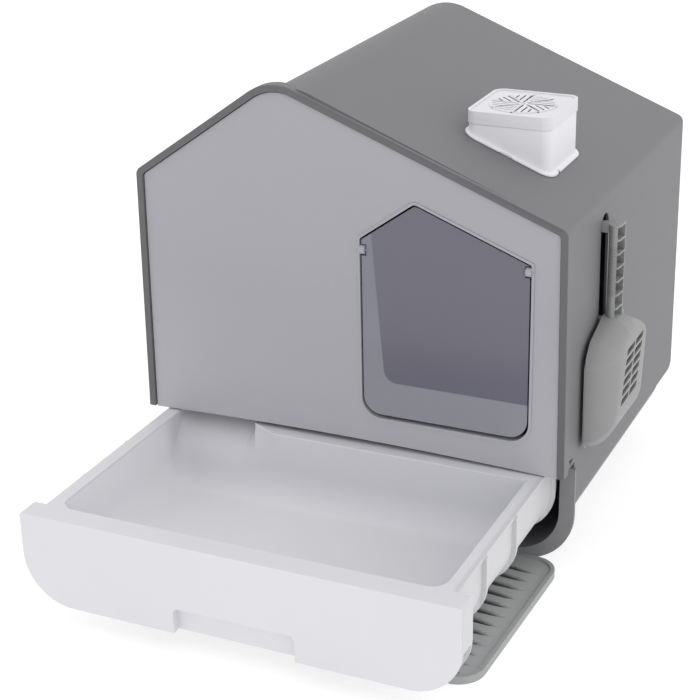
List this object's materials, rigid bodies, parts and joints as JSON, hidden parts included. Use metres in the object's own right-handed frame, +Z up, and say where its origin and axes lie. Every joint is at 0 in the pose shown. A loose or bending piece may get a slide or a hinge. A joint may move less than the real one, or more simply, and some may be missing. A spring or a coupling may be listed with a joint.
{
  "type": "drawer litter box",
  "caption": "House-shaped covered litter box with a swinging see-through door, a pull-out litter drawer, a ridged pedal, a roof filter box and a hung scoop.",
  "frame": {"origin": "on the floor, under the middle of the hood, on the lower face of the base's middle foot", "axes": "+X to the right seen from the front, +Y from the front to the back, +Z up"},
  "size_m": [0.4755, 0.645, 0.4638],
  "materials": {
    "base_plastic": "fine moulded texture",
    "hood_plastic": "fine moulded texture",
    "panel_plastic": "satin moulded",
    "smoked_plastic": "clear and smoked",
    "white_plastic": "satin moulded",
    "pedal_plastic": "fine moulded texture",
    "scoop_plastic": "satin moulded",
    "filter_felt": "black felt"
  },
  "bodies": {
    "base": {"base_shell": "base_plastic"},
    "hood": {"hood_shell": "hood_plastic", "front_panel": "panel_plastic", "filter_housing": "white_plastic"},
    "flap": {"entry_flap": "smoked_plastic"},
    "drawer": {"drawer": "white_plastic"},
    "pedal": {"pedal": "pedal_plastic"},
    "filter_cap": {"filter_cap": "white_plastic", "carbon_filter": "filter_felt"},
    "scoop": {"scoop": "scoop_plastic"}
  },
  "joints": [
    {"name": "drawer_slide", "type": "slide", "parent": "base", "child": "drawer", "axis": [0, 1, 0], "range_m": [-0.02, 0.2575]},
    {"name": "flap_swing", "type": "hinge", "parent": "hood", "child": "flap", "pos_m": [0.10175, -0.19645, 0.314], "axis": [1, 0, 0], "range_deg": [-70, 70]},
    {"name": "hood_lift", "type": "slide", "parent": "base", "child": "hood", "axis": [0, 0, 1], "range_m": [0, 0.15]},
    {"name": "pedal_pull", "type": "slide", "parent": "base", "child": "pedal", "axis": [0, -1, 0], "range_m": [0, 0.24]},
    {"name": "filter_cap_lift", "type": "slide", "parent": "hood", "child": "filter_cap", "axis": [0, 0, 1], "range_m": [0, 0.08]},
    {"name": "scoop_pull", "type": "slide", "parent": "hood", "child": "scoop", "axis": [1, 0, 0], "range_m": [0, 0.12]}
  ]
}
